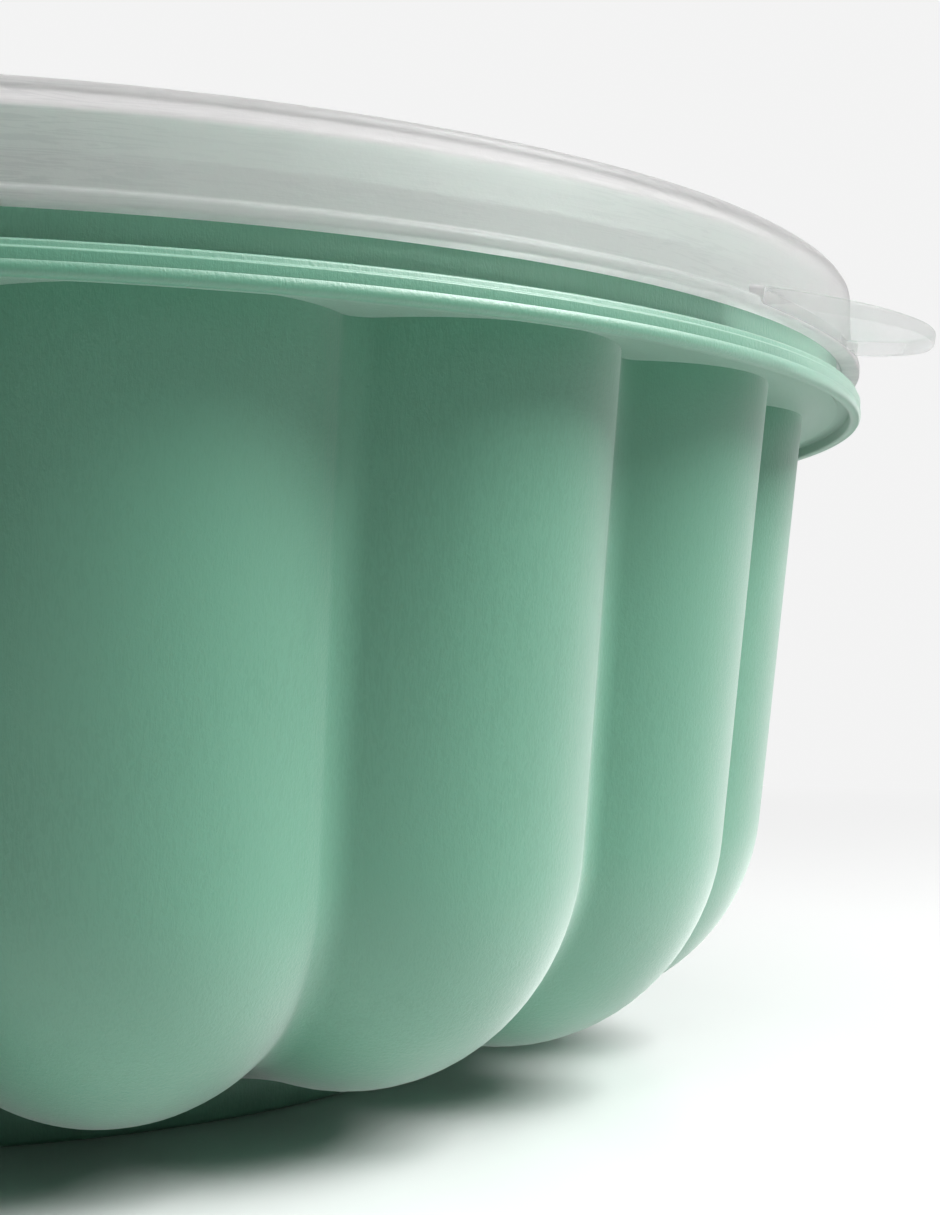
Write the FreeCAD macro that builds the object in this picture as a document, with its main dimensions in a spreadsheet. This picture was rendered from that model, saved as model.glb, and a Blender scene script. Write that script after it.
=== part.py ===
import FreeCAD, Part
import math
import os
import re

import Sketcher

# Fluted ring mould for jelly, standing on its crown with the lid on.
# Frame: Z up, origin at floor level on the mould's axis, X along the middle of a flute.
# Lengths are millimetres and angles are degrees.

os.makedirs("parts", exist_ok=True)
doc = FreeCAD.newDocument("jelly_mould")

# Driving sizes

SIZES = [
    # fluted wall
    ("flute_count", 18),
    ("flute_radius", 20.5),
    ("valley_radius", 3.2),
    ("wall", 1.8),
    ("crest_step", 4.1),
    ("draft", 6.9),
    ("crown_bend", 26.9),
    ("crown_lean", 69.0),
    ("crown_height", 4.75),
    ("bend_spans", 3),
    # rim and grip flange; the rings of flange, flutes and lid are counted from the rim
    ("flange_reach", 2.9),
    ("flange_top", 80.8),
    ("flange_plate", 1.4),
    ("flange_lip", 1.3),
    ("flange_drop", 1.6),
    ("rim_radius", 112.2),
    ("rim_wall", 1.8),
    ("rim_rise", 10.9),
    ("rim_edge", 0.5),
    ("bead_proud", 0.3),
    ("bead_below_rim", 3.7),
    ("bead_width", 0.8),
    # foot collar and the ring shelf inside it
    ("foot_radius", 62.9),
    ("foot_wall", 2.2),
    ("shelf_height", 8.0),
    ("mouth_radius", 47.5),
    ("foot_edge", 0.4),
    # lid
    ("lid_fit", 0.3),
    ("lid_side_fit", 0.35),
    ("lid_skirt", 1.2),
    ("lid_wall", 1.3),
    ("lid_crown", 1.6),
    ("lid_gap", 2.7),
    ("lid_lip_reach", 1.0),
    ("lid_lip", 1.3),
    ("lid_edge", 0.9),
    ("plug_depth", 5.7),
    ("panel", 1.4),
    ("panel_corner", 1.0),
    # pull tab
    ("tab_angle", -39.1),
    ("tab_droop", 10.0),
    ("tab_raise", 0.7),
    ("tab_thick", 1.8),
    ("tab_radius", 19.3),
    ("tab_inset", 7.7),
    # centre plug
    ("plug_fit", 0.35),
    ("plug_seat", 0.15),
    ("plug_wall", 1.6),
    ("plug_flange", 1.8),
    ("plug_skirt", 1.5),
    ("plug_lift", 1.2),
    ("column_clear", 13.3),
    ("column_draft", 6.0),
    ("column_edge", 3.5),
]

sheet = doc.addObject("Spreadsheet::Sheet", "Sizes")
for row, (alias, value) in enumerate(SIZES, start=1):
    sheet.set("A%d" % row, alias)
    sheet.set("B%d" % row, str(value))
    sheet.setAlias("B%d" % row, alias)
doc.recompute()


def size(alias):
    return float(getattr(sheet, alias))


def evaluate(formula):
    return float(sheet.evalExpression(formula))


# Rings and levels that several pieces share

CREST_RADIUS = "(rim_radius - crest_step)"
FLANGE_RADIUS = "(rim_radius + flange_reach)"
RIM_TOP = "(flange_top + rim_rise)"
BEAD_HEIGHT = "(flange_top + rim_rise - bead_below_rim)"
LID_BOTTOM = "(flange_top + lid_gap)"
LID_LIP_RADIUS = "(rim_radius + bead_proud + lid_fit + lid_skirt + lid_lip_reach)"

# Two lengths closer than this are the same
SAME = 0.01

# Helpers for revolved pieces

def origin_plane(body, role):
    for feature in body.Origin.OriginFeatures:
        if feature.Role == role:
            return feature
    raise RuntimeError("no plane " + role)


def outline(body, name, points):
    """Closed outline in the radius and height plane, each corner tied to the sheet."""
    sketch = body.newObject("Sketcher::SketchObject", name)
    sketch.AttachmentSupport = [(origin_plane(body, "XZ_Plane"), "")]
    sketch.MapMode = "FlatFace"
    places = []
    for across, up in points:
        places.append(FreeCAD.Vector(evaluate(across), evaluate(up), 0))
    count = len(places)
    for i in range(count):
        sketch.addGeometry(Part.LineSegment(places[i], places[(i + 1) % count]), False)
    for i in range(count):
        sketch.addConstraint(Sketcher.Constraint("Coincident", i, 2, (i + 1) % count, 1))
    for i, (across, up) in enumerate(points):
        tie_point(sketch, i, "DistanceX", across, -2)
        tie_point(sketch, i, "DistanceY", up, -1)
    return sketch


def tie_point(sketch, line, kind, formula, axis):
    """Hold a line's start on an axis, or at a distance that follows a formula."""
    value = evaluate(formula)
    if formula == "0":
        sketch.addConstraint(Sketcher.Constraint("PointOnObject", line, 1, axis))
        return
    index = sketch.addConstraint(Sketcher.Constraint(kind, -1, 1, line, 1, value))
    sketch.setExpression("Constraints[%d]" % index, sheet_formula(formula))


def sheet_formula(formula):
    """The same formula as another object writes it, with the sheet named before each size."""
    aliases = [alias for alias, value in SIZES]

    def named(match):
        word = match.group(0)
        return "Sizes." + word if word in aliases else word

    return re.sub(r"[A-Za-z_]+", named, formula)


def turned_body(name, points):
    """A body turned round the upright axis from a closed outline."""
    body = doc.addObject("PartDesign::Body", name)
    sketch = outline(body, name + "_outline", points)
    turn = body.newObject("PartDesign::Revolution", name + "_turn")
    turn.Profile = sketch
    turn.ReferenceAxis = (sketch, ["V_Axis"])
    turn.Angle = 360
    doc.recompute()
    return body


def break_edges(body, name, width, places):
    """Chamfer the circular edges that pass through the given radius and height."""
    found = []
    for number, edge in enumerate(body.Shape.Edges, start=1):
        point = edge.valueAt(edge.FirstParameter)
        reach = math.hypot(point.x, point.y)
        for across, up in places:
            if abs(reach - evaluate(across)) < SAME and abs(point.z - evaluate(up)) < SAME:
                found.append("Edge%d" % number)
    base = body.Tip
    chamfer = body.newObject("PartDesign::Chamfer", name)
    chamfer.Base = (base, sorted(set(found)))
    chamfer.setExpression("Size", "Sizes." + width)
    doc.recompute()
    return chamfer


# Fluted shell: one moulded wall, made as the skins of one flute and turned round the axis.
# A section is an arc across the flute and a small arc along the valley to the next flute.

HALF_TURN = math.pi / size("flute_count")
UPRIGHT = FreeCAD.Vector(0, 0, 1)
AXIS_FOOT = FreeCAD.Vector(0, 0, 0)


def turned(shape, flutes):
    """A copy turned round the axis by a number of flutes."""
    copy = shape.copy()
    copy.rotate(AXIS_FOOT, UPRIGHT, flutes * 2 * math.degrees(HALF_TURN))
    return copy


def across_valley(point):
    """The same point on the next flute: its mirror image in the plane between the two."""
    turn = 2 * HALF_TURN
    return FreeCAD.Vector(point.x * math.cos(turn) + point.y * math.sin(turn),
                          point.x * math.sin(turn) - point.y * math.cos(turn), point.z)


def flute_section(reach, height, lean, depth):
    """Both arcs of one flute in a plane that leans by an angle from level.

    depth is how far the arcs lie inside the outer skin: 0, or up to the wall.
    """
    radius = size("flute_radius")
    blend = size("valley_radius")
    spread = math.tan(HALF_TURN)
    along = math.cos(lean)
    outward = FreeCAD.Vector(along, 0, -math.sin(lean))
    crest = FreeCAD.Vector(reach, 0, height)
    centre = crest - outward * radius
    # the small arc's centre lies on the plane between two flutes, a blend outside the skin
    square = 1 + (spread * along) ** 2
    linear = 2 * (reach * spread ** 2 * along + radius)
    constant = (reach * spread) ** 2 + radius ** 2 - (radius + blend) ** 2
    out = (-linear + math.sqrt(linear ** 2 - 4 * square * constant)) / (2 * square)
    valley_centre = crest + outward * out
    valley_centre.y = (reach + out * along) * spread
    touch = centre + (valley_centre - centre) * ((radius - depth) / (radius + blend))
    touch_left = FreeCAD.Vector(touch.x, -touch.y, touch.z)
    touch_next = across_valley(touch)
    inward = (touch - valley_centre) + (touch_next - valley_centre)
    bottom = valley_centre + inward.normalize() * (blend + depth)
    front = Part.Arc(touch_left, crest - outward * depth, touch)
    valley = Part.Arc(touch, bottom, touch_next)
    return [front.toShape(), valley.toShape()]


def stations(depth):
    """Crest point and lean of each section of a skin, from its top edge round the bend.

    The outer skin starts under the flange plate and the inner one at the top of the plate.
    """
    draft = math.radians(size("draft"))
    last_lean = math.radians(size("crown_lean"))
    bend = size("crown_bend")
    under = size("flange_top") - size("flange_plate")
    top = size("flange_top") if depth > 0 else under
    centre_height = size("crown_height") + bend
    wall_end = centre_height - bend * math.sin(draft)
    crest = evaluate(CREST_RADIUS)
    wall_reach = crest - (under - wall_end) * math.tan(draft)
    centre_reach = wall_reach - bend * math.cos(draft)
    places = [(crest + (top - under) * math.tan(draft), top, 0.0)]
    spans = int(size("bend_spans"))
    for step in range(spans + 1):
        lean = draft + (last_lean - draft) * step / spans
        reach = centre_reach + bend * math.cos(lean)
        places.append((reach, centre_height - bend * math.sin(lean), lean))
    return places


def foot_section(height):
    """Arcs of the foot collar's own circle, where one flute and the valley beside it end."""
    last = flute_section(*stations(0.0)[-1], 0.0)[0].Vertexes[-1].Point
    turn = math.atan2(last.y, last.x)

    def place(angle):
        radius = size("foot_radius")
        return FreeCAD.Vector(radius * math.cos(angle), radius * math.sin(angle), height)

    front = Part.Arc(place(-turn), place(0), place(turn))
    valley = Part.Arc(place(turn), place(HALF_TURN), place(2 * HALF_TURN - turn))
    return [front.toShape(), valley.toShape()]


def skin(depth):
    """One flute's faces of a skin, and its top edge."""
    sections = [flute_section(*place, depth) for place in stations(depth)]
    sections.append(foot_section(size("crown_height") + depth))
    faces = []
    for upper, lower in zip(sections, sections[1:]):
        faces += [Part.makeRuledSurface(high, low) for high, low in zip(upper, lower)]
    return faces, sections[0]


def fluted_shell():
    """Outer and inner skins of every flute, closed at both ends and sewn into one solid wall."""
    outer, outer_top = skin(0.0)
    inner, inner_top = skin(size("wall"))
    top = [Part.makeRuledSurface(*pair) for pair in zip(outer_top, inner_top)]
    band = [arc.extrude(UPRIGHT * size("wall")) for arc in foot_section(size("crown_height"))]
    every = []
    for number in range(int(size("flute_count"))):
        every += [turned(face, number) for face in outer + inner + top + band]
    shell = Part.makeShell([face for shape in every for face in shape.Faces])
    shell.sewShape()
    solid = Part.makeSolid(Part.Shell(shell.Faces))
    if solid.Volume < 0:
        solid.reverse()
    return solid


def fluted_mouth():
    """The opening in the flange plate, as a block that stands a plate's thickness out of it."""
    wall = size("wall")
    plate = size("flange_plate")
    edges = []
    for number in range(int(size("flute_count"))):
        edges += [turned(edge, number) for edge in flute_section(*stations(wall)[0], wall)]
    face = Part.Face(Part.Wire(Part.sortEdges(edges)[0]))
    face.translate(UPRIGHT * -(plate + plate))
    return face.extrude(UPRIGHT * (plate + plate + plate))


shell = doc.addObject("Part::Feature", "fluted_shell")
shell.Shape = fluted_shell()
mouth = doc.addObject("Part::Feature", "fluted_mouth")
mouth.Shape = fluted_mouth()

# Rim: the upright wall that the lid grips, and the flange with its turned-down lip.
# The plate starts at the circle of the flutes' centres, and the mouth cuts it back to the wall.

PLATE_INNER = "(rim_radius - crest_step - flute_radius)"
FLANGE_UNDER = "(flange_top - flange_plate)"
LIP_INNER = "(rim_radius + flange_reach - flange_lip)"
LIP_BOTTOM = "(flange_top - flange_plate - flange_drop)"
RIM_INNER = "(rim_radius - rim_wall)"

rim = turned_body("rim", [
    (PLATE_INNER, FLANGE_UNDER),
    (LIP_INNER, FLANGE_UNDER),
    (LIP_INNER, LIP_BOTTOM),
    (FLANGE_RADIUS, LIP_BOTTOM),
    (FLANGE_RADIUS, "flange_top"),
    ("rim_radius", "flange_top"),
    ("rim_radius", BEAD_HEIGHT + " - bead_width"),
    ("rim_radius + bead_proud", BEAD_HEIGHT),
    ("rim_radius", BEAD_HEIGHT + " + bead_width"),
    ("rim_radius", RIM_TOP),
    (RIM_INNER, RIM_TOP),
    (RIM_INNER, "flange_top"),
    (PLATE_INNER, "flange_top"),
])
break_edges(rim, "rim_edges", "rim_edge", [
    (FLANGE_RADIUS, LIP_BOTTOM),
    ("rim_radius", RIM_TOP),
])

# Foot: the collar that the mould stands on, and the shelf that closes the crown round the plug

SHELF_TOP = "(shelf_height + wall)"
COLLAR_INNER = "(foot_radius - foot_wall)"

foot = turned_body("foot", [
    ("mouth_radius", "shelf_height"),
    (COLLAR_INNER, "shelf_height"),
    (COLLAR_INNER, "0"),
    ("foot_radius", "0"),
    ("foot_radius", SHELF_TOP),
    ("mouth_radius", SHELF_TOP),
])
break_edges(foot, "foot_edges", "foot_edge", [
    ("foot_radius", "0"),
])

open_rim = doc.addObject("Part::Cut", "open_rim")
open_rim.Base = rim
open_rim.Tool = mouth
mould = doc.addObject("Part::MultiFuse", "mould_body")
mould.Shapes = [shell, open_rim, foot]
mould.Refine = True
mould.Label = "mould_body"

# Centre plug: a stopper that closes the crown and forms the hole through the jelly

FLANGE_TOP_OF_PLUG = "(shelf_height - plug_seat)"
FLANGE_FOOT_OF_PLUG = "(shelf_height - plug_seat - plug_flange)"
PLUG_RIM = "(foot_radius - foot_wall - plug_fit)"
COLUMN_TOP = "(flange_top + rim_rise + lid_fit - plug_depth - column_clear)"
COLUMN_BASE = "(mouth_radius - plug_fit)"
TAPER = "(%s - shelf_height) * tan(column_draft)" % COLUMN_TOP
COLUMN_TIP = "(mouth_radius - plug_fit - %s)" % TAPER

plug = turned_body("centre_plug", [
    ("0", COLUMN_TOP),
    (COLUMN_TIP, COLUMN_TOP),
    (COLUMN_BASE, FLANGE_TOP_OF_PLUG),
    (PLUG_RIM, FLANGE_TOP_OF_PLUG),
    (PLUG_RIM, "plug_lift"),
    (PLUG_RIM + " - plug_skirt", "plug_lift"),
    (PLUG_RIM + " - plug_skirt", FLANGE_FOOT_OF_PLUG),
    (COLUMN_BASE + " - plug_wall", FLANGE_FOOT_OF_PLUG),
    (COLUMN_TIP + " - plug_wall", COLUMN_TOP + " - plug_wall"),
    ("0", COLUMN_TOP + " - plug_wall"),
])
break_edges(plug, "column_tip_edge", "column_edge", [
    (COLUMN_TIP, COLUMN_TOP),
])
plug.Label = "centre_plug"

# Lid: an upturned channel over the rim, a sunk panel, and a lip with a tab

SKIRT_INNER = "(rim_radius + bead_proud + lid_fit)"
SKIRT_OUTER = "(rim_radius + bead_proud + lid_fit + lid_skirt)"
CHANNEL_TOP = "(flange_top + rim_rise + lid_fit)"
LID_TOP = "(flange_top + rim_rise + lid_fit + lid_crown)"
PLUG_RING = "(rim_radius - rim_wall - lid_side_fit)"
PLUG_RING_INNER = "(rim_radius - rim_wall - lid_side_fit - lid_wall)"
PANEL_UNDER = "(flange_top + rim_rise + lid_fit - plug_depth)"
PANEL_TOP = "(flange_top + rim_rise + lid_fit - plug_depth + panel)"

lid = turned_body("lid", [
    ("0", PANEL_UNDER),
    (PLUG_RING, PANEL_UNDER),
    (PLUG_RING, CHANNEL_TOP),
    (SKIRT_INNER, CHANNEL_TOP),
    (SKIRT_INNER, LID_BOTTOM),
    (LID_LIP_RADIUS, LID_BOTTOM),
    (LID_LIP_RADIUS, LID_BOTTOM + " + lid_lip"),
    (SKIRT_OUTER, LID_BOTTOM + " + lid_lip"),
    (SKIRT_OUTER, LID_TOP),
    (PLUG_RING_INNER, LID_TOP),
    (PLUG_RING_INNER, PANEL_TOP),
    ("0", PANEL_TOP),
])
break_edges(lid, "lid_top_edge", "lid_edge", [
    (SKIRT_OUTER, LID_TOP),
])
break_edges(lid, "lid_panel_corners", "panel_corner", [
    (PLUG_RING_INNER, PANEL_TOP),
    (PLUG_RING, PANEL_UNDER),
])

# Pull tab: a thin half-round tongue that droops from the lip. Its sketch has its own origin at
# the lip, with X out along the tongue: one arc runs inside the skirt, the other round the tip.

TAB_TOP = "(flange_top + lid_gap + lid_lip + tab_raise)"
TAB_ROOT = "(rim_radius + bead_proud + lid_fit + lid_skirt / 2)"
TAB_PLACE = ("placement(vector(%s * cos(tab_angle); %s * sin(tab_angle); %s - tab_thick);"
             " rotation(tab_angle; tab_droop; 0))" % (LID_LIP_RADIUS, LID_LIP_RADIUS, TAB_TOP))

tab_sketch = lid.newObject("Sketcher::SketchObject", "tab_outline")
tab_sketch.AttachmentSupport = [(origin_plane(lid, "XY_Plane"), "")]
tab_sketch.MapMode = "FlatFace"
tab_sketch.setExpression("AttachmentOffset", sheet_formula(TAB_PLACE))

ARC_POINTS = ["whole arc", "start", "end", "centre"]
root_radius = evaluate(TAB_ROOT)
root_centre = -evaluate(LID_LIP_RADIUS)
tip_radius = size("tab_radius")
tip_centre = -size("tab_inset")
apart = tip_centre - root_centre
root_turn = math.acos((root_radius ** 2 + apart ** 2 - tip_radius ** 2) / (2 * root_radius * apart))
tip_turn = math.asin(root_radius * math.sin(root_turn) / tip_radius)
if apart + tip_radius * math.cos(tip_turn) > root_radius * math.cos(root_turn) + SAME:
    tip_turn = math.pi - tip_turn


def level_arc(centre, radius, turn):
    ring = Part.Circle(FreeCAD.Vector(centre, 0, 0), UPRIGHT, radius)
    return Part.ArcOfCircle(ring, -turn, turn)


root = tab_sketch.addGeometry(level_arc(root_centre, root_radius, root_turn), False)
tip = tab_sketch.addGeometry(level_arc(tip_centre, tip_radius, tip_turn), False)
for name in ("start", "end"):
    side = ARC_POINTS.index(name)
    tab_sketch.addConstraint(Sketcher.Constraint("Coincident", root, side, tip, side))
middle = ARC_POINTS.index("centre")
for arc, centre, radius in ((root, LID_LIP_RADIUS, TAB_ROOT), (tip, "tab_inset", "tab_radius")):
    tab_sketch.addConstraint(Sketcher.Constraint("PointOnObject", arc, middle, -1))
    distance = Sketcher.Constraint("DistanceX", arc, middle, -1, 1, evaluate(centre))
    back = tab_sketch.addConstraint(distance)
    tab_sketch.setExpression("Constraints[%d]" % back, sheet_formula(centre))
    ring = tab_sketch.addConstraint(Sketcher.Constraint("Radius", arc, evaluate(radius)))
    tab_sketch.setExpression("Constraints[%d]" % ring, sheet_formula(radius))

tab = lid.newObject("PartDesign::Pad", "tab")
tab.Profile = tab_sketch
tab.setExpression("Length", "Sizes.tab_thick")
doc.recompute()

lid.Label = "lid"

# Each piece is checked whole before any is written

doc.recompute()
pieces = [mould, plug, lid]
for item in doc.Objects:
    if "Invalid" in item.State or "Error" in item.State:
        raise RuntimeError("failed: " + item.Name)
for piece in pieces:
    if piece.Shape.isNull() or not piece.Shape.isValid() or len(piece.Shape.Solids) != 1:
        raise RuntimeError("not one sound solid: " + piece.Label)
for piece in pieces:
    piece.Shape.exportStep("parts/%s.step" % piece.Label)
    print(piece.Label, "volume %.0f mm3" % piece.Shape.Volume, "faces", len(piece.Shape.Faces))
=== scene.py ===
# %% [markdown]
# # A fluted ring mould for jelly
# The object is a green plastic mould that stands on its crown, with a frosted lid pressed on
# its wide mouth and a plug in the middle of the crown. This lesson models each piece in the
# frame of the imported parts, gives it a finish, and lights it as in a small studio.
#
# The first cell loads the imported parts. Their names, places and sizes are fixed, so every new
# piece is drawn at the same place and at the same size, in metres. Sizes below are written in
# millimetres, as a drawing of the mould would give them, and multiplied by MM.

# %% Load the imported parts
import math

import bpy
from mathutils import Matrix, Vector


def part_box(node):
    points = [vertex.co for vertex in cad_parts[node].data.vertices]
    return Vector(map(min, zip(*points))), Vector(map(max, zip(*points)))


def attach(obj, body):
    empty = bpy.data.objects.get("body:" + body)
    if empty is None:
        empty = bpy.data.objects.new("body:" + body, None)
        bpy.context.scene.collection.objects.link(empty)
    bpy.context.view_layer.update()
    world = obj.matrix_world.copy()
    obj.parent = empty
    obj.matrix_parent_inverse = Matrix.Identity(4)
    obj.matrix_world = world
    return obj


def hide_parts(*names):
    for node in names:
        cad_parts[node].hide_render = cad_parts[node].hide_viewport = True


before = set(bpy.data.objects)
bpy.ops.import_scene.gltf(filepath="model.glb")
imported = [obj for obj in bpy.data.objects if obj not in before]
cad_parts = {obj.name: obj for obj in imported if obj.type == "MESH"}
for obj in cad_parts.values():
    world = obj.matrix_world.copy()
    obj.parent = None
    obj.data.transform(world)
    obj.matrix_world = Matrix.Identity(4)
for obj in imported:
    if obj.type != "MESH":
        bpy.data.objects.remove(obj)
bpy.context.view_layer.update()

MM = 0.001
print("packed parts:", sorted(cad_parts))

# %% [markdown]
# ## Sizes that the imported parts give
# A few sizes tie the whole object together: how far each part reaches from the axis, and how
# high it stands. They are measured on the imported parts, so that the dressed pieces and the
# packed ones always agree. The other sizes are steps from these, or belong to one piece alone.
# Adding 0.0 turns the minus zero that rounding can leave into a plain zero.

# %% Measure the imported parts
def measured(node):
    """A part's reach from the axis, lowest height and highest height, to 0.01 mm."""
    low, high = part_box(node)
    sizes = [round(size / MM, 2) + 0.0 for size in (high.x, low.z, high.z)]
    print("%s: reach %.2f mm, height from %.2f to %.2f mm" % (node, *sizes))
    return sizes


FLANGE_RADIUS, FOOT_LEVEL, RIM_TOP = measured("mould_body")
LID_LIP_RADIUS, _, LID_TOP = measured("lid")
PLUG_RADIUS, PLUG_LEVEL, COLUMN_TOP = measured("centre_plug")

# %% [markdown]
# ## Helpers for modelling by hand
# An edit-mode operator works on whatever is selected, so each step starts with nothing
# selected and then picks points by their place. A modifier is applied as soon as it is set up.
# That leaves plain meshes, which are easy to look at and to export.

# %% Helpers for selection, edit mode and modifiers
SAME_PLACE = 0.001 * MM
MERGE_GAP = 0.005 * MM
CRISP_ANGLE = math.radians(32)


def start_clean():
    """Nothing is selected, so that the next operator meets only the new primitive."""
    bpy.ops.object.select_all(action="DESELECT")


def named(name):
    """Name the primitive that was just added, and move its place into its mesh."""
    piece = bpy.context.object
    piece.name = name
    piece.data.name = name
    bpy.ops.object.transform_apply(location=True, rotation=True, scale=True)
    return piece


def make_active(piece):
    start_clean()
    piece.select_set(True)
    bpy.context.view_layer.objects.active = piece


def select_points(piece, wanted):
    """In edit mode, select only the points whose place passes the test."""
    bpy.ops.mesh.select_mode(type="VERT")
    bpy.ops.mesh.select_all(action="DESELECT")
    bpy.ops.object.mode_set(mode="OBJECT")
    for point in piece.data.vertices:
        point.select = wanted(point.co)
    bpy.ops.object.mode_set(mode="EDIT")


def close_up():
    """In edit mode, merge the points that meet and turn every face outwards."""
    bpy.ops.mesh.select_all(action="SELECT")
    bpy.ops.mesh.remove_doubles(threshold=MERGE_GAP)
    bpy.ops.mesh.normals_make_consistent(inside=False)
    bpy.ops.object.mode_set(mode="OBJECT")


def apply_modifier(piece, kind, **settings):
    make_active(piece)
    modifier = piece.modifiers.new(kind.lower(), kind)
    for key, value in settings.items():
        setattr(modifier, key, value)
    bpy.ops.object.modifier_apply(modifier=modifier.name)


def combine(piece, tool, operation):
    """Add or cut one closed shape with another, and delete the tool."""
    apply_modifier(piece, "BOOLEAN", object=tool, operation=operation, solver="EXACT")
    bpy.data.objects.remove(tool)


def smooth(piece):
    """Round surfaces shade smoothly, and edges sharper than the angle stay crisp."""
    make_active(piece)
    bpy.ops.object.shade_smooth_by_angle(angle=CRISP_ANGLE)


def report(piece):
    triangles = sum(len(face.vertices) - 2 for face in piece.data.polygons)
    corners = [Vector(corner) / MM for corner in piece.bound_box]
    print(piece.name, "triangles", triangles, "height %.1f mm" % (corners[1].z - corners[0].z))


# %% [markdown]
# ## Turned pieces
# The rim, the foot, the lid and the plug are all round. On the real object they come from
# turned steel tools, so each is drawn as one outline in the plane through the axis and spun
# once round. A corner is written as radius, height and rounding. Rounding the corners of the
# outline before the spin costs nothing, and it is what catches a highlight along each edge.

# %% Helper: spin an outline round the axis
SPIN_STEPS = 288
ROUNDING_STEPS = 4


def turned(name, corners, closed=True):
    """A piece spun from an outline of (radius, height, rounding) corners, in millimetres."""
    start_clean()
    first = corners[0]
    bpy.ops.mesh.primitive_plane_add(size=MM, location=(first[0] * MM, 0, first[1] * MM))
    piece = named(name)
    bpy.ops.object.mode_set(mode="EDIT")
    bpy.ops.mesh.select_all(action="SELECT")
    bpy.ops.mesh.merge(type="CENTER")
    for here, there in zip(corners, corners[1:]):
        step = ((there[0] - here[0]) * MM, 0, (there[1] - here[1]) * MM)
        bpy.ops.mesh.extrude_region_move(TRANSFORM_OT_translate={"value": step})
    if closed:
        ends = [Vector((c[0] * MM, 0, c[1] * MM)) for c in (corners[0], corners[-1])]
        select_points(piece, lambda co: min((co - end).length for end in ends) < SAME_PLACE)
        bpy.ops.mesh.edge_face_add()
    for radius, height, rounding in corners:
        if rounding:
            corner = Vector((radius * MM, 0, height * MM))
            select_points(piece, lambda co: (co - corner).length < SAME_PLACE)
            bpy.ops.mesh.bevel(offset=rounding * MM, segments=ROUNDING_STEPS, affect="VERTICES")
    bpy.ops.mesh.select_all(action="SELECT")
    bpy.ops.mesh.spin(steps=SPIN_STEPS, angle=2 * math.pi, center=(0, 0, 0), axis=(0, 0, 1))
    close_up()
    return piece


# %% [markdown]
# ## The fluted wall
# The body of the real mould is one thin wall, pressed into eighteen flutes that run down it,
# turn under at the crown and fade out at the foot. Across a flute the wall is an arc, and
# between two flutes a much smaller arc blends them.
#
# It could be cut from solid shapes, but then the blend in each valley would be ragged. Here
# one flute starts as a flat grid. The columns of the grid are laid along the two arcs, and its
# rows down the wall and round the bend, so every edge follows the flow of the surface.

# %% Sizes of the fluted wall
FLUTES = 18
HALF_TURN = math.pi / FLUTES
SPREAD = math.tan(HALF_TURN)
FLUTE_RADIUS = 20.5
VALLEY_RADIUS = 3.2
WALL = 1.8
FLANGE_REACH = 2.9
RIM_RADIUS = FLANGE_RADIUS - FLANGE_REACH
CREST_STEP = 4.1
CREST_RADIUS = RIM_RADIUS - CREST_STEP
RIM_RISE = 10.9
FLANGE_TOP = RIM_TOP - RIM_RISE
FLANGE_THICK = 1.4
FLANGE_UNDER = FLANGE_TOP - FLANGE_THICK
FOOT_RADIUS = 62.9
CROWN_HEIGHT = 4.75
DRAFT = math.radians(6.9)
BEND_RADIUS = 26.9
BEND_CENTRE_HEIGHT = CROWN_HEIGHT + BEND_RADIUS
WALL_END = BEND_CENTRE_HEIGHT - BEND_RADIUS * math.sin(DRAFT)
WALL_END_REACH = CREST_RADIUS - (FLANGE_UNDER - WALL_END) * math.tan(DRAFT)
BEND_CENTRE_REACH = WALL_END_REACH - BEND_RADIUS * math.cos(DRAFT)
print("crest at the start of the bend: radius %.1f, height %.1f" % (WALL_END_REACH, WALL_END))

# %% [markdown]
# ## One section across a flute
# The smaller arc touches the flute's arc on one side and its mirror image on the other. Its
# centre therefore lies on the plane between two flutes, at the sum of both radii from the
# centre of the flute's arc. That condition is a quadratic equation, and its root says how far
# out the centre lies. A section leans where the wall turns under, because it is always drawn
# square to the wall.

# %% Helpers: the arcs across one flute
FRONT_STEPS = 22
VALLEY_STEPS = 8


def arc_points(centre, start, end, steps):
    """Points on the arc from start towards end, without the end itself."""
    first = start - centre
    last = end - centre
    turn = first.angle(last)
    side = (last - first * math.cos(turn)) / math.sin(turn)
    angles = [turn * i / steps for i in range(steps)]
    return [centre + first * math.cos(a) + side * math.sin(a) for a in angles]


def across_valley(point):
    """The same point on the next flute: its mirror image in the plane between the two."""
    turn = 2 * HALF_TURN
    x = point.x * math.cos(turn) + point.y * math.sin(turn)
    y = point.x * math.sin(turn) - point.y * math.cos(turn)
    return Vector((x, y, point.z))


def flute_section(reach, height, lean):
    """Points across one flute and its valley, in a plane that leans by an angle from level."""
    along = math.cos(lean)
    outward = Vector((along, 0, -math.sin(lean)))
    crest = Vector((reach, 0, height))
    centre = crest - outward * FLUTE_RADIUS
    square = 1 + (SPREAD * along) ** 2
    linear = 2 * (reach * SPREAD ** 2 * along + FLUTE_RADIUS)
    constant = (reach * SPREAD) ** 2 + FLUTE_RADIUS ** 2 - (FLUTE_RADIUS + VALLEY_RADIUS) ** 2
    out = (math.sqrt(linear ** 2 - 4 * square * constant) - linear) / (2 * square)
    valley = crest + outward * out
    valley.y = (reach + out * along) * SPREAD
    touch = centre + (valley - centre) * (FLUTE_RADIUS / (FLUTE_RADIUS + VALLEY_RADIUS))
    touch_left = Vector((touch.x, -touch.y, touch.z))
    half = FRONT_STEPS // 2
    front = arc_points(centre, touch_left, crest, half) + arc_points(centre, crest, touch, half)
    blend = arc_points(valley, touch, across_valley(touch), VALLEY_STEPS)
    return front + blend + [across_valley(touch)]


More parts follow.
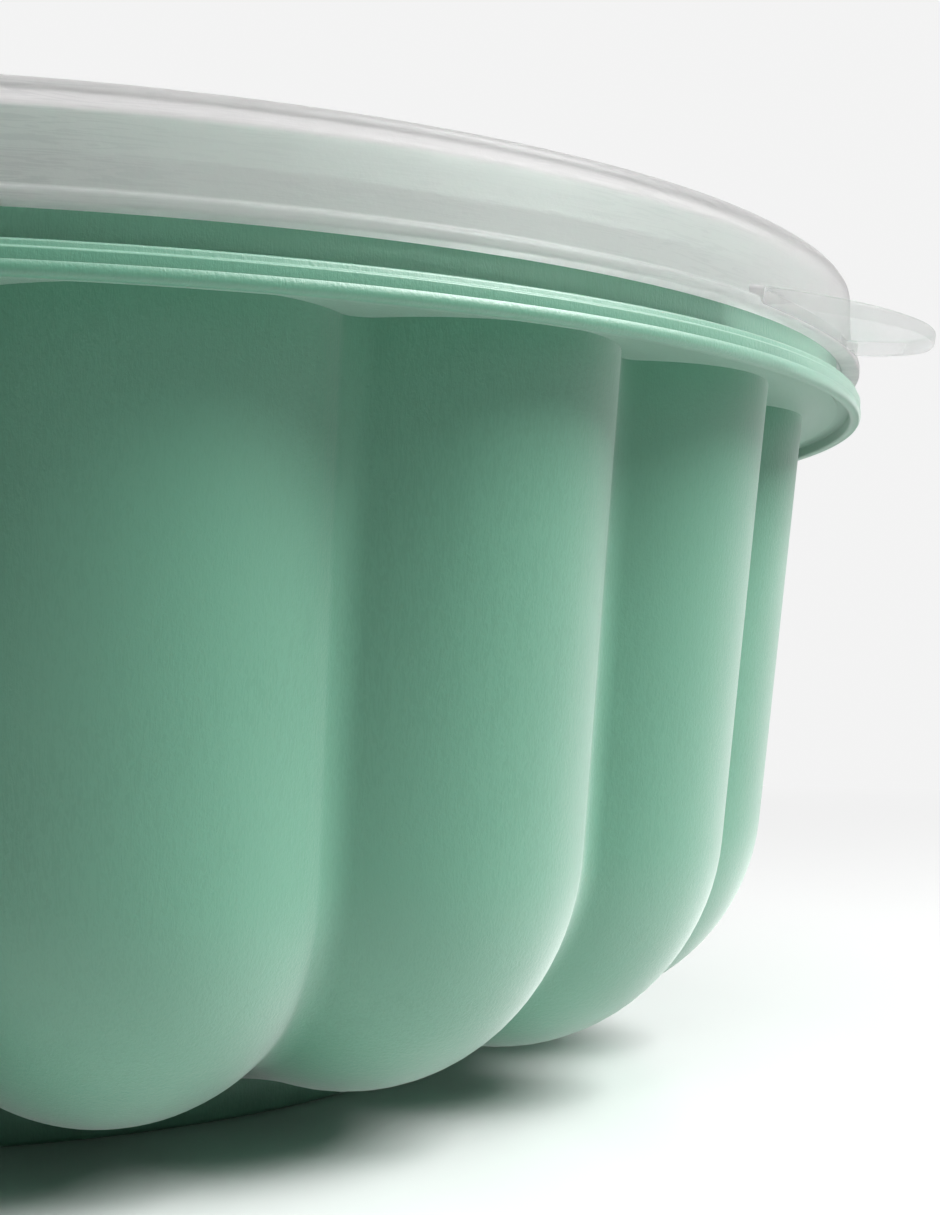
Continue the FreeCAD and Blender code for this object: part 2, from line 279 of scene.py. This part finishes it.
TOP_SECTION = flute_section(CREST_RADIUS, FLANGE_UNDER, 0.0)
print("points across one flute:", len(TOP_SECTION))

# %% [markdown]
# ## Rows from the rim down to the foot
# The rim above the flutes is round, so its rows are the same points moved out to a circle. It
# carries a small bead that the lid grips. Below the flange the rows follow the draft of the
# wall, then the bend, where the section leans more and more. On the crown the flutes fade into
# the foot on a smooth curve that starts and ends level.

# %% Rows from the top of the rim down to the foot
PLATE_ROWS = 3
WALL_ROWS = 14
BEND_ROWS = 20
CROWN_ROWS = 8
RIM_ROUND = 0.5
RIM_SHOULDER = 0.15
BEAD_BELOW_RIM = 3.7
BEAD_HEIGHT = RIM_TOP - BEAD_BELOW_RIM
BEAD_HALF = 0.8
BEAD_OUT = 0.3
BEAD_SHOULDER = 0.22
COLLAR_OVERLAP = 1.0
RIM_OUTLINE = [
    (RIM_RADIUS - RIM_ROUND, RIM_TOP),
    (RIM_RADIUS - RIM_SHOULDER, RIM_TOP - RIM_SHOULDER),
    (RIM_RADIUS, RIM_TOP - RIM_ROUND),
    (RIM_RADIUS, BEAD_HEIGHT + BEAD_HALF),
    (RIM_RADIUS + BEAD_SHOULDER, BEAD_HEIGHT + BEAD_OUT),
    (RIM_RADIUS + BEAD_OUT, BEAD_HEIGHT),
    (RIM_RADIUS + BEAD_SHOULDER, BEAD_HEIGHT - BEAD_OUT),
    (RIM_RADIUS, BEAD_HEIGHT - BEAD_HALF),
    (RIM_RADIUS, FLANGE_UNDER),
]


def ring_of(points, radius, height):
    """The same points moved out to a circle, each along its own direction from the axis."""
    ring = []
    for point in points:
        flat = Vector((point.x, point.y, 0)).normalized() * radius
        ring.append(Vector((flat.x, flat.y, height)))
    return ring


def between(row, other, share):
    """A row that lies a share of the way from one row to another."""
    return [a.lerp(b, share) for a, b in zip(row, other)]


def wall_rows():
    """Sections of the drafted wall and of the bend below it."""
    rows = []
    for step in range(WALL_ROWS):
        share = step / WALL_ROWS
        height = FLANGE_UNDER + (WALL_END - FLANGE_UNDER) * share
        reach = CREST_RADIUS + (WALL_END_REACH - CREST_RADIUS) * share
        rows.append(flute_section(reach, height, DRAFT * share))
    for step in range(BEND_ROWS + 1):
        lean = DRAFT + (math.pi / 2 - DRAFT) * step / BEND_ROWS
        reach = BEND_CENTRE_REACH + BEND_RADIUS * math.cos(lean)
        rows.append(flute_section(reach, BEND_CENTRE_HEIGHT - BEND_RADIUS * math.sin(lean), lean))
    return rows


def crown_rows(last):
    """Rows from the last section of the bend to a circle inside the wall of the foot."""
    collar = ring_of(last, FOOT_RADIUS - COLLAR_OVERLAP, CROWN_HEIGHT)
    rows = []
    for step in range(1, CROWN_ROWS + 1):
        share = step / CROWN_ROWS
        fade = (1 - share) ** 2 * (1 + 2 * share)
        row = between(last, collar, share)
        for point, start in zip(row, last):
            point.z = CROWN_HEIGHT + (start.z - CROWN_HEIGHT) * fade
        rows.append(row)
    return rows


rim = [ring_of(TOP_SECTION, radius, height) for radius, height in RIM_OUTLINE]
plate = [between(rim[-1], TOP_SECTION, step / PLATE_ROWS) for step in range(1, PLATE_ROWS)]
wall = wall_rows()
crown = crown_rows(wall[-1])
rows = rim + plate + wall + crown
print("rows:", len(rim), "rim,", len(plate), "plate,", len(wall), "wall,", len(crown), "crown")

# %% [markdown]
# ## From one flute to the whole wall
# A flat grid with one point for each column and row takes the places worked out above. The
# spin operator then copies the flute seventeen times round the axis, and the seams are merged.
# Solidify gives the wall its thickness, inwards from the skin, last of all: only then is the
# skin one sheet whose faces all point outwards.

# %% Build one flute, copy it round and give the wall its thickness
start_clean()
bpy.ops.mesh.primitive_grid_add(
    x_subdivisions=len(TOP_SECTION) - 1, y_subdivisions=len(rows) - 1, size=2 * FLUTE_RADIUS * MM)
mould = named("mould_shell")
flat_order = [point for row in rows for point in row]
for vertex, point in zip(mould.data.vertices, flat_order):
    vertex.co = point * MM
bpy.ops.object.mode_set(mode="EDIT")
bpy.ops.mesh.select_all(action="SELECT")
bpy.ops.mesh.spin(steps=FLUTES - 1, dupli=True, angle=2 * math.pi * (FLUTES - 1) / FLUTES,
                  center=(0, 0, 0), axis=(0, 0, 1))
close_up()
apply_modifier(mould, "SOLIDIFY", thickness=WALL * MM, offset=-1, use_even_offset=True)
report(mould)

# %% [markdown]
# ## Flange and foot
# Round the mouth runs a flange to grip, with a turned-down lip, a fine step along its upper
# edge and a rounded bead below. The foot is a collar with a shelf inside it, which carries the
# plug. Both are spun, and then united with the wall by a Boolean modifier. Their inner sides
# end inside the wall, because faces that lie exactly on each other confuse a Boolean.

# %% Flange and foot
PLATE_OVERLAP = 0.9
PLATE_RISE = 0.2
LIP_DROP = 3.0
LIP_BOTTOM = FLANGE_TOP - LIP_DROP
LIP_WALL = 1.4
LIP_TAPER = 0.1
LIP_BEAD = 1.0
BEAD_FADE = 0.3
BEAD_PROUD = 0.15
EDGE_STEP = 0.62
EDGE_FADE = 0.13
EDGE_INSET = 0.35
EDGE_TAPER = 0.05
flange = turned("flange", [
    (RIM_RADIUS - PLATE_OVERLAP, FLANGE_TOP, 0),
    (RIM_RADIUS - PLATE_OVERLAP, FLANGE_UNDER + PLATE_RISE, 0),
    (FLANGE_RADIUS - LIP_WALL + LIP_TAPER, FLANGE_UNDER, 0.3),
    (FLANGE_RADIUS - LIP_WALL, LIP_BOTTOM, 0.4),
    (FLANGE_RADIUS - LIP_TAPER, LIP_BOTTOM, 0.55),
    (FLANGE_RADIUS, LIP_BOTTOM + LIP_BEAD, 0.3),
    (FLANGE_RADIUS - BEAD_PROUD, LIP_BOTTOM + LIP_BEAD + BEAD_FADE, 0.2),
    (FLANGE_RADIUS - EDGE_TAPER, FLANGE_TOP - EDGE_STEP - EDGE_FADE, 0.12),
    (FLANGE_RADIUS - EDGE_INSET + EDGE_TAPER, FLANGE_TOP - EDGE_STEP, 0.08),
    (FLANGE_RADIUS - EDGE_INSET, FLANGE_TOP, 0.25),
])
MOUTH_RADIUS = 47.5
SHELF = 8.0
FOOT_WALL = 2.2
foot = turned("foot", [
    (MOUTH_RADIUS, SHELF, 0.3),
    (FOOT_RADIUS - FOOT_WALL, SHELF, 0.3),
    (FOOT_RADIUS - FOOT_WALL, FOOT_LEVEL, 0.6),
    (FOOT_RADIUS, FOOT_LEVEL, 0.6),
    (FOOT_RADIUS, SHELF + WALL, 0.3),
    (MOUTH_RADIUS, SHELF + WALL, 0.3),
])
combine(mould, flange, "UNION")
combine(mould, foot, "UNION")
smooth(mould)
report(mould)

# %% [markdown]
# ## The ring and panel of the lid
# The lid is one frosted moulding: an upturned channel over the rim, a panel sunk inside the
# rim, and a thin lip at the bottom of the skirt. All of it is round, so it is spun from one
# outline, which runs from the axis out under the panel, over the channel and back. The channel
# takes its sizes from the rim and a clearance on each side.

# %% Spin the ring and panel of the lid
LID_GAP = 2.7
LID_BOTTOM = FLANGE_TOP + LID_GAP
LID_WALL = 1.3
SEAT_CLEARANCE = 0.3
CHANNEL_TOP = RIM_TOP + SEAT_CLEARANCE
SKIRT_CLEARANCE = 0.6
SKIRT_INNER = RIM_RADIUS + SKIRT_CLEARANCE
SKIRT_WALL = 1.2
SKIRT_OUTER = SKIRT_INNER + SKIRT_WALL
INNER_CLEARANCE = 0.35
INNER_RADIUS = RIM_RADIUS - WALL - INNER_CLEARANCE
PANEL_SUNK = 5.9
PANEL_TOP = LID_TOP - PANEL_SUNK
PANEL_THICK = 1.4
PANEL_UNDER = PANEL_TOP - PANEL_THICK
lid = turned("lid_shell", [
    (0, PANEL_UNDER, 0),
    (INNER_RADIUS, PANEL_UNDER, 1.2),
    (INNER_RADIUS, CHANNEL_TOP, 0.4),
    (SKIRT_INNER, CHANNEL_TOP, 0.5),
    (SKIRT_INNER, LID_BOTTOM, 0.2),
    (LID_LIP_RADIUS, LID_BOTTOM, 0.3),
    (LID_LIP_RADIUS, LID_BOTTOM + LID_WALL, 0.5),
    (SKIRT_OUTER, LID_BOTTOM + LID_WALL, 0.4),
    (SKIRT_OUTER, LID_TOP, 1.1),
    (INNER_RADIUS - LID_WALL, LID_TOP, 0.7),
    (INNER_RADIUS - LID_WALL, PANEL_TOP, 1.2),
    (0, PANEL_TOP, 0),
], closed=False)
report(lid)

# %% [markdown]
# ## The pull tab
# A half-round tab stands out from the lip, to pull the lid off by. It is a disc with a soft
# edge that droops by ten degrees. A cylinder cuts away what lies inside the skirt, and the
# rest is united with the ring, because the real tab is moulded in one piece with it.

# %% Add the pull tab
TAB_ANGLE = math.radians(-39.1)
TAB_DROOP = math.radians(10.0)
TAB_RADIUS = 19.3
TAB_INSET = 7.7
TAB_THICK = 1.8
TAB_ROUNDING = 0.45
TAB_SIDES = 160
TAB_ABOVE_LIP = 0.7
TAB_TOP = LID_BOTTOM + LID_WALL + TAB_ABOVE_LIP
CUTTER_LOW = 60
CUTTER_HIGH = 110


def pull_tab():
    """A disc with a softly rounded rim, drooped and turned to its place on the lip."""
    start_clean()
    bpy.ops.mesh.primitive_cylinder_add(
        vertices=TAB_SIDES, radius=TAB_RADIUS * MM, depth=TAB_THICK * MM,
        location=(-TAB_INSET * MM, 0, -TAB_THICK / 2 * MM))
    tab = named("pull_tab")
    apply_modifier(tab, "BEVEL", width=TAB_ROUNDING * MM, segments=3, limit_method="ANGLE")
    droop = Matrix.Rotation(TAB_DROOP, 4, "Y")
    place = Matrix.Translation(Vector((LID_LIP_RADIUS * MM, 0, TAB_TOP * MM)))
    tab.matrix_world = Matrix.Rotation(TAB_ANGLE, 4, "Z") @ place @ droop
    bpy.ops.object.transform_apply(location=True, rotation=True, scale=True)
    return tab


def bore_cutter(radius, low, high):
    """A plain cylinder round the axis, to cut away what lies inside the skirt."""
    start_clean()
    bpy.ops.mesh.primitive_cylinder_add(
        vertices=SPIN_STEPS, radius=radius * MM, depth=(high - low) * MM,
        location=(0, 0, (low + high) / 2 * MM))
    return named("bore_cutter")


tab = pull_tab()
cutter = bore_cutter((SKIRT_INNER + SKIRT_OUTER) / 2, CUTTER_LOW, CUTTER_HIGH)
combine(tab, cutter, "DIFFERENCE")
combine(lid, tab, "UNION")
smooth(lid)
report(lid)

# %% [markdown]
# ## The centre plug
# A ring mould is closed in the middle by a tapered column, which forms the hole through the
# jelly. Here it is a hollow stopper: a column with a skirt that sits under the shelf. It is
# spun too. Its outline is about one wall thick all the way, because it is hollow from below.

# %% Spin the centre plug
PLUG_CLEARANCE = 0.35
PLUG_BASE = MOUTH_RADIUS - PLUG_CLEARANCE
PLUG_TIP = 40.32
PLUG_WALL = 1.6
PLUG_SKIRT = 1.5
PLUG_FLANGE = 1.8
SEAT_GAP = 0.15
PLUG_SEAT = SHELF - SEAT_GAP
plug = turned("plug_shell", [
    (0, COLUMN_TOP, 0),
    (PLUG_TIP, COLUMN_TOP, 3.6),
    (PLUG_BASE, PLUG_SEAT, 0.8),
    (PLUG_RADIUS, PLUG_SEAT, 0.5),
    (PLUG_RADIUS, PLUG_LEVEL, 0.4),
    (PLUG_RADIUS - PLUG_SKIRT, PLUG_LEVEL, 0.4),
    (PLUG_RADIUS - PLUG_SKIRT, PLUG_SEAT - PLUG_FLANGE, 0.6),
    (PLUG_BASE - PLUG_WALL, PLUG_SEAT - PLUG_FLANGE, 1.2),
    (PLUG_TIP - PLUG_WALL, COLUMN_TOP - PLUG_WALL, 2.4),
    (0, COLUMN_TOP - PLUG_WALL, 0),
], closed=False)
smooth(plug)
report(plug)

# %% [markdown]
# ## Helpers for shader nodes
# A finish is a small tree of nodes. Three helpers keep the recipes below short: one adds a
# node and sets its values, one draws links, and one adds a step of arithmetic.

# %% Helpers for shader nodes
def add(tree, kind, place, **values):
    """A node at a place in the editor, with values set; _ stands for a space in a name."""
    node = tree.nodes.new(kind)
    node.location = place
    for name, value in values.items():
        node.inputs[name.replace("_", " ")].default_value = value
    return node


def link(tree, *pairs):
    for start, end in pairs:
        tree.links.new(start, end)


def maths(tree, operation, first, second, place):
    """A Math node with each input linked or set."""
    node = tree.nodes.new("ShaderNodeMath")
    node.operation = operation
    node.location = place
    for socket, value in zip(node.inputs, (first, second)):
        if isinstance(value, (int, float)):
            socket.default_value = value
        else:
            tree.links.new(value, socket)
    return node.outputs[0]


def mixed_value(tree, factor, low, high, place):
    """A value that runs from low to high as the factor runs from 0 to 1."""
    node = add(tree, "ShaderNodeMapRange", place, To_Min=low, To_Max=high)
    tree.links.new(factor, node.inputs["Value"])
    return node.outputs["Result"]


# %% [markdown]
# ## Moulded grain, shared by every plastic
# Moulded plastic is never one flat colour. It has slow clouds of shade where the melt ran, a
# fine satin grain from the blasted steel, and short hair lines from handling. One node group
# makes all three from the place on the object, so that the finishes below only choose how
# strong each is. It puts out values only; the shader stays in each material.
#
# A hair line is the place where a noise crosses its middle value. The distance from that value
# is sharpened until only thin lines stay dark, and stretching the noise draws them out.

# %% Build the grain group
CLOUD_SCALE = 22.0
HAIR_SCALE = 1900.0
NOISE_MIDDLE = 0.5
HAIR_SHARPNESS = 9.0


def grain_group():
    """Inputs: place, fineness of the grain, stretch of the hairs. Outputs: three masks."""
    tree = bpy.data.node_groups.new("moulded_grain", "ShaderNodeTree")
    tree.interface.new_socket(name="Place", in_out="INPUT", socket_type="NodeSocketVector")
    tree.interface.new_socket(name="Fineness", in_out="INPUT", socket_type="NodeSocketFloat")
    tree.interface.new_socket(name="Stretch", in_out="INPUT", socket_type="NodeSocketVector")
    for name in ("Clouds", "Grain", "Hairs"):
        tree.interface.new_socket(name=name, in_out="OUTPUT", socket_type="NodeSocketFloat")
    entry = tree.nodes.new("NodeGroupInput")
    leave = tree.nodes.new("NodeGroupOutput")
    place = entry.outputs["Place"]
    clouds = add(tree, "ShaderNodeTexNoise", (-400, 300),
                 Scale=CLOUD_SCALE, Detail=3.0, Distortion=0.6)
    grain = add(tree, "ShaderNodeTexNoise", (-400, 0), Detail=4.0, Roughness=0.65)
    stretch = add(tree, "ShaderNodeMapping", (-600, -300))
    hairs = add(tree, "ShaderNodeTexNoise", (-400, -300),
                Scale=HAIR_SCALE, Detail=2.0, Distortion=1.6)
    link(tree,
         (place, clouds.inputs["Vector"]),
         (place, grain.inputs["Vector"]),
         (place, stretch.inputs["Vector"]),
         (entry.outputs["Fineness"], grain.inputs["Scale"]),
         (entry.outputs["Stretch"], stretch.inputs["Scale"]),
         (stretch.outputs["Vector"], hairs.inputs["Vector"]))
    ridge = maths(tree, "SUBTRACT", hairs.outputs[0], NOISE_MIDDLE, (-200, -300))
    ridge = maths(tree, "ABSOLUTE", ridge, 0.0, (-100, -300))
    ridge = maths(tree, "MULTIPLY", ridge, HAIR_SHARPNESS, (0, -300))
    ridge = maths(tree, "MINIMUM", ridge, 1.0, (100, -300))
    link(tree,
         (clouds.outputs[0], leave.inputs["Clouds"]),
         (grain.outputs[0], leave.inputs["Grain"]),
         (ridge, leave.inputs["Hairs"]))
    return tree


GRAIN = grain_group()
print(GRAIN.name, "has", len(GRAIN.nodes), "nodes")

# %% [markdown]
# ## One recipe for a moulded plastic
# Every plastic here differs only in numbers: two near shades of its colour, a band of
# roughness, how deep its grain is and how its hair lines run. So there is one recipe, and each
# finish is one call of it. A number that is the same all over the surface, such as how much
# light passes through, is set on the shader's own socket.

# %% The recipe
RAMP_START = 0.3
RAMP_END = 0.7
HAIR_DEPTH = 0.15
GRAIN_DEPTH = 0.2


def mixed_colour(tree, factor, dark, light, place):
    """A colour ramp between two colours."""
    node = tree.nodes.new("ShaderNodeValToRGB")
    node.location = place
    for stop, position, colour in zip(node.color_ramp.elements, (RAMP_START, RAMP_END), (dark, light)):
        stop.position = position
        stop.color = (*colour, 1)
    tree.links.new(factor, node.inputs[0])
    return node.outputs[0]


def plastic(name, dark, light, roughness, relief, fineness, stretch, streaks, **sockets):
    """A moulded plastic: two near shades, a band of roughness, a fine relief and hair lines."""
    material = bpy.data.materials.new(name)
    material.use_nodes = True
    tree = material.node_tree
    shader = tree.nodes["Principled BSDF"]
    place = add(tree, "ShaderNodeTexCoord", (-1200, 0)).outputs["Object"]
    group = tree.nodes.new("ShaderNodeGroup")
    group.node_tree = GRAIN
    group.location = (-1000, 0)
    group.inputs["Fineness"].default_value = fineness
    group.inputs["Stretch"].default_value = stretch
    tree.links.new(place, group.inputs["Place"])
    lines = maths(tree, "SUBTRACT", 1.0, group.outputs["Hairs"], (-900, 300))
    lines = maths(tree, "MULTIPLY", lines, streaks, (-800, 300))
    shade = maths(tree, "ADD", group.outputs["Clouds"], lines, (-700, 300))
    colour = mixed_colour(tree, shade, dark, light, (-600, 300))
    gloss = mixed_value(tree, group.outputs["Clouds"], *roughness, (-600, 0))
    height = maths(tree, "MULTIPLY", group.outputs["Hairs"], HAIR_DEPTH, (-700, -300))
    height = maths(tree, "ADD", height, group.outputs["Grain"], (-600, -300))
    bump = add(tree, "ShaderNodeBump", (-300, -300), Strength=relief, Distance=GRAIN_DEPTH * MM)
    link(tree,
         (height, bump.inputs["Height"]),
         (bump.outputs[0], shader.inputs["Normal"]),
         (colour, shader.inputs["Base Color"]),
         (gloss, shader.inputs["Roughness"]))
    for socket, value in sockets.items():
        shader.inputs[socket.replace("_", " ")].default_value = value
    print("finish", name, "with", len(tree.nodes), "nodes")
    return material


# %% [markdown]
# ## The finishes
# The mould is jade green and satin. It lets a little light soak in at its edges, and a soft
# sheen gives it the pale haze of a surface that is handled and washed. The lid and the plug
# are of an uncoloured plastic, milky where it is thick and clear enough for the green rim to
# show through the skirt. The tab is thinner than the rest of the lid, so it is clearer still.
# On the wall and the plug the hair lines run upright, and on the lid they run round it.

# %% Jade and frosted plastic
UPRIGHT_HAIRS = (1.0, 1.0, 0.16)
LEVEL_HAIRS = (0.05, 0.05, 1.0)
JADE = plastic(
    "jade_plastic", dark=(0.058, 0.232, 0.142), light=(0.077, 0.268, 0.170),
    roughness=(0.38, 0.48), relief=0.24, fineness=2600.0, stretch=UPRIGHT_HAIRS, streaks=0.25,
    Subsurface_Weight=0.06, Subsurface_Scale=0.003, Specular_IOR_Level=0.95,
    Sheen_Weight=0.62, Sheen_Roughness=0.45)
FROST = plastic(
    "frosted_plastic", dark=(0.68, 0.675, 0.68), light=(0.82, 0.81, 0.81),
    roughness=(0.26, 0.36), relief=0.09, fineness=1800.0, stretch=LEVEL_HAIRS, streaks=0.45,
    Transmission_Weight=0.76, IOR=1.20)
FROST_THIN = plastic(
    "frosted_tab", dark=(0.97, 0.975, 0.975), light=(0.99, 0.99, 0.99),
    roughness=(0.18, 0.26), relief=0.15, fineness=1800.0, stretch=LEVEL_HAIRS, streaks=0.3,
    Transmission_Weight=0.93, IOR=1.18, Alpha=0.35)
FROST_PLUG = plastic(
    "frosted_plug", dark=(0.76, 0.80, 0.78), light=(0.84, 0.87, 0.85),
    roughness=(0.40, 0.52), relief=0.3, fineness=1800.0, stretch=UPRIGHT_HAIRS, streaks=0.2,
    Transmission_Weight=0.35, IOR=1.30)

# %% [markdown]
# ## Dress the pieces
# Each piece gets its finish and hangs on the empty of the body that it rides on, so that it
# moves with the right body, and the plain imported solid that it stands for is hidden. The tab
# is one mesh with the lid, so its faces, those that lie beyond the lip, point to a second
# material on the same piece.

# %% Finish the pieces, hang them on their bodies and hide the imported parts
BEYOND_LIP = 0.2
PIECES = [
    (mould, "mould", "mould_body", "mould_plastic", JADE),
    (lid, "lid", "lid", "lid_plastic", FROST),
    (plug, "plug", "centre_plug", "plug_plastic", FROST_PLUG),
]
for piece, body, node, slot, material in PIECES:
    piece.data.materials.clear()
    piece.data.materials.append(material)
    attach(piece, body)
    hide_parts(node)
    print(piece.name, "rides on", body, "and stands for", node)

lid.data.materials.append(FROST_THIN)
tab_faces = 0
for face in lid.data.polygons:
    if math.hypot(face.center.x, face.center.y) > (LID_LIP_RADIUS + BEYOND_LIP) * MM:
        face.material_index = 1
        tab_faces += 1
print("faces of the pull tab:", tab_faces)

# %% [markdown]
# ## A pale background that lights little
# A photograph on white has a background near white, while the object is lit by lamps. So the
# floor's far part and the sky are bright only where the camera sees them, directly or through
# the frosted plastic. Mirrored in a glossy surface they have half that strength, and as a
# source of light they are dim. The Light Path node tells the rays apart.

# %% Helper: pale where it is seen
BACKGROUND = (0.90, 0.90, 0.90)
SKY_LIGHT = 0.05
GLOSS_LIGHT = 0.5


def pale_where_seen(tree):
    """Full strength for camera and see-through rays, less for mirrored ones, dim for the rest."""
    path = tree.nodes.new("ShaderNodeLightPath")
    mirrored = maths(tree, "MULTIPLY", path.outputs["Is Glossy Ray"], GLOSS_LIGHT, (-150, 0))
    seen = maths(tree, "ADD", path.outputs["Is Camera Ray"], mirrored, (0, 0))
    seen = maths(tree, "ADD", seen, path.outputs["Is Transmission Ray"], (150, 0))
    seen = maths(tree, "MINIMUM", seen, 1.0, (300, 0))
    return mixed_value(tree, seen, SKY_LIGHT, 1.0, (450, 0))


# %% [markdown]
# ## Floor
# The floor is a pale, slightly glossy sheet that runs out into the pale background. Far from
# the mould it fades to the colour of the background, so no horizon shows. Seen from below it
# is clear, and so is a disc of it inside the foot, so that the underside can be looked at too
# and the plug has somewhere to go.

# %% Floor
FLOOR_COLOUR = (0.83, 0.835, 0.832)
FLOOR_ROUGHNESS = 0.2
FLOOR_IOR = 1.7
FLOOR_WIDTH = 12000
FLOOR_SQUARES = 8
CLEAR_RADIUS = 60.5
FADE_START = 150
FADE_END = 500


def floor_finish():
    """Glossy near the mould, background far from it, clear from below and inside the foot."""
    material = bpy.data.materials.new("floor_gloss")
    material.use_nodes = True
    tree = material.node_tree
    shader = tree.nodes["Principled BSDF"]
    shader.inputs["Base Color"].default_value = (*FLOOR_COLOUR, 1)
    shader.inputs["Roughness"].default_value = FLOOR_ROUGHNESS
    shader.inputs["IOR"].default_value = FLOOR_IOR
    far = add(tree, "ShaderNodeEmission", (-200, -300), Color=(*BACKGROUND, 1))
    tree.links.new(pale_where_seen(tree), far.inputs["Strength"])
    clear = tree.nodes.new("ShaderNodeBsdfTransparent")
    place = tree.nodes.new("ShaderNodeTexCoord").outputs["Object"]
    away = tree.nodes.new("ShaderNodeVectorMath")
    away.operation = "LENGTH"
    fade = add(tree, "ShaderNodeMapRange", (-400, 0),
               From_Min=FADE_START * MM, From_Max=FADE_END * MM)
    near_far = tree.nodes.new("ShaderNodeMixShader")
    two_sides = tree.nodes.new("ShaderNodeMixShader")
    back = tree.nodes.new("ShaderNodeNewGeometry").outputs["Backfacing"]
    distance = away.outputs["Value"]
    inside_foot = maths(tree, "LESS_THAN", distance, CLEAR_RADIUS * MM, (-400, 300))
    see_through = maths(tree, "MAXIMUM", back, inside_foot, (-200, 300))
    out = tree.nodes["Material Output"]
    link(tree,
         (place, away.inputs[0]),
         (distance, fade.inputs["Value"]),
         (fade.outputs["Result"], near_far.inputs[0]),
         (shader.outputs[0], near_far.inputs[1]),
         (far.outputs[0], near_far.inputs[2]),
         (see_through, two_sides.inputs[0]),
         (near_far.outputs[0], two_sides.inputs[1]),
         (clear.outputs[0], two_sides.inputs[2]),
         (two_sides.outputs[0], out.inputs["Surface"]))
    return material


start_clean()
bpy.ops.mesh.primitive_grid_add(x_subdivisions=FLOOR_SQUARES, y_subdivisions=FLOOR_SQUARES,
                                size=FLOOR_WIDTH * MM, location=(0, 0, 0))
floor = named("floor")
floor.data.materials.append(floor_finish())
report(floor)

# %% [markdown]
# ## Light
# The light is plain and soft. A wide lamp stands high on the right, so that the flange shades
# the top of the wall and the right side of each flute is the brighter one. A weak lamp over
# the front and one behind fill the rest, under a dim sky. A lamp is written as its name, its
# place and its width in metres, and its power in watts.

# %% World and lamps
LAMP_TARGET = Vector((0, 0, 0.05))
LAMPS = [
    ("key_right", (0.80, -0.31, 0.86), 0.66, 23),
    ("top_soft", (0.0, -0.40, 0.8), 0.5, 2.6),
    ("fill_back", (-0.50, 0.80, 0.55), 0.8, 5.0),
]


def sky():
    world = bpy.data.worlds.new("studio")
    bpy.context.scene.world = world
    world.use_nodes = True
    tree = world.node_tree
    shader = tree.nodes["Background"]
    shader.inputs["Color"].default_value = (*BACKGROUND, 1)
    tree.links.new(pale_where_seen(tree), shader.inputs["Strength"])


def soft_lamp(name, place, size, watts):
    """A square lamp that faces the middle of the mould, and that the camera doesn't see."""
    lamp = bpy.data.lights.new(name, "AREA")
    lamp.size = size
    lamp.energy = watts
    holder = bpy.data.objects.new(name, lamp)
    bpy.context.scene.collection.objects.link(holder)
    holder.location = place
    aim = LAMP_TARGET - Vector(place)
    holder.rotation_euler = aim.to_track_quat("-Z", "Y").to_euler()
    holder.visible_camera = False
    print("lamp", name, "%.2f m away" % aim.length)


sky()
for lamp in LAMPS:
    soft_lamp(*lamp)

# %% [markdown]
# ## Camera
# The photograph is a close look from just above the floor, turned to the right, so that the
# mould runs out of the left side of the picture. Its place was worked out from the outlines of
# the rim, the flutes and the foot.

# %% Camera
PHOTO_HEIGHT_PIXELS = 1215
FOCAL_PIXELS = 1824.0
CAMERA_REACH = 254.8
CAMERA_HEIGHT = 48.4
CAMERA_TURN = math.radians(-2.02)
CAMERA_YAW = math.radians(14.65)
CAMERA_PITCH = math.radians(1.79)
CAMERA_ROLL = math.radians(-0.55)
SENSOR = 36.0
NEAR_LIMIT = 10
eye = bpy.data.cameras.new("camera")
camera = bpy.data.objects.new("camera", eye)
bpy.context.scene.collection.objects.link(camera)
camera.location = Vector((-CAMERA_REACH * math.sin(CAMERA_TURN),
                          -CAMERA_REACH * math.cos(CAMERA_TURN), CAMERA_HEIGHT)) * MM
turn = Matrix.Rotation(-CAMERA_YAW - CAMERA_TURN, 3, "Z")
tilt = Matrix.Rotation(math.pi / 2 + CAMERA_PITCH, 3, "X")
roll = Matrix.Rotation(CAMERA_ROLL, 3, "Z")
camera.rotation_euler = (turn @ tilt @ roll).to_euler()
eye.sensor_width = SENSOR
eye.lens = SENSOR * FOCAL_PIXELS / PHOTO_HEIGHT_PIXELS
eye.clip_start = NEAR_LIMIT * MM
bpy.context.scene.camera = camera
bpy.context.scene.view_settings.view_transform = "Standard"
print("lens %.2f mm" % eye.lens)
